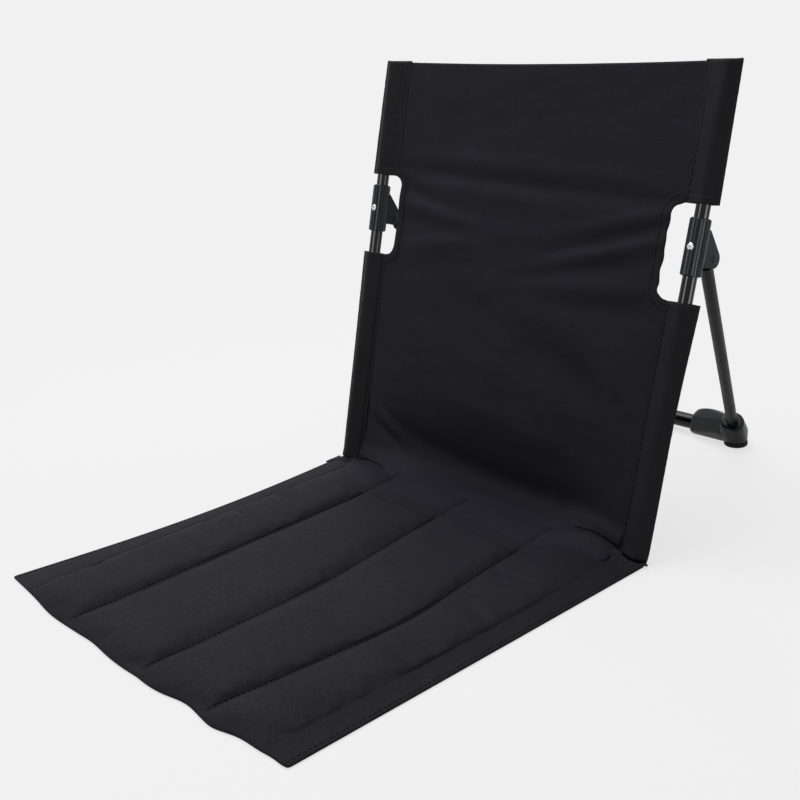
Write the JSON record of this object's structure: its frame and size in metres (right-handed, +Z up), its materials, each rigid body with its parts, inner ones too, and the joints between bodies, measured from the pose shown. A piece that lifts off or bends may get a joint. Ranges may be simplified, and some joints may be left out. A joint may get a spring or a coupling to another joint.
{
  "type": "folding beach chair",
  "caption": "Legless folding beach chair: a padded mat on the ground, a cloth back on upright tubes and a rear support frame that hinges on moulded hubs.",
  "frame": {"origin": "on the ground below the centre of the unfolded chair's box", "axes": "+X to the sitter's left across the chair, +Y to the rear, towards the support frame, +Z up"},
  "size_m": [0.4162, 0.691, 0.4026],
  "materials": {
    "upright_enamel": "gloss black enamel on steel tube",
    "leg_enamel": "satin dark grey enamel on steel tube",
    "pin_steel": "blackened steel pins and rivets",
    "rivet_steel": "bright nickel-plated rivet",
    "hub_nylon": "semi-gloss moulded nylon, slate grey",
    "foot_nylon": "semi-gloss moulded nylon, blue black",
    "eye_nylon": "moulded nylon",
    "plug_plastic": "moulded polyethylene",
    "pad_rubber": "matt moulded rubber",
    "back_cloth": "coated polyester weave, blue black",
    "sleeve_cloth": "coated polyester weave, black",
    "hem_tape": "folded and stitched hem",
    "seat_cloth": "coated polyester weave, quilted",
    "base_cloth": "coated polyester underside",
    "foam": "open-cell foam strip"
  },
  "bodies": {
    "back": {"left_upright": "upright_enamel", "right_upright": "upright_enamel", "upright_top_caps": "plug_plastic", "upright_bottom_caps": "plug_plastic", "left_hub": "hub_nylon", "right_hub": "hub_nylon", "hub_rivets": "rivet_steel", "left_pivot_pin": "pin_steel", "right_pivot_pin": "pin_steel", "back_panel": "back_cloth", "left_upper_sleeve": "sleeve_cloth", "right_upper_sleeve": "sleeve_cloth", "left_lower_sleeve": "sleeve_cloth", "right_lower_sleeve": "sleeve_cloth", "left_notch_hem": "hem_tape", "right_notch_hem": "hem_tape"},
    "rear_frame": {"left_leg": "leg_enamel", "right_leg": "leg_enamel", "left_leg_eye": "eye_nylon", "right_leg_eye": "eye_nylon", "eye_rivets": "pin_steel", "crossbar": "upright_enamel", "left_foot": "foot_nylon", "right_foot": "foot_nylon", "left_foot_pad": "pad_rubber", "right_foot_pad": "pad_rubber", "foot_rivets": "pin_steel"},
    "seat": {"seat_top_cloth": "seat_cloth", "seat_bottom_cloth": "base_cloth", "left_outer_foam": "foam", "left_inner_foam": "foam", "right_inner_foam": "foam", "right_outer_foam": "foam"}
  },
  "joints": [
    {"name": "leg_fold", "type": "hinge", "parent": "back", "child": "rear_frame", "pos_m": [0, 0.12055, 0.24578], "axis": [-1, 0, 0], "range_deg": [0, 57]},
    {"name": "seat_fold", "type": "hinge", "parent": "back", "child": "seat", "pos_m": [0, 0.03144, 0.0026], "axis": [-1, 0, 0], "range_deg": [0, 100]}
  ]
}
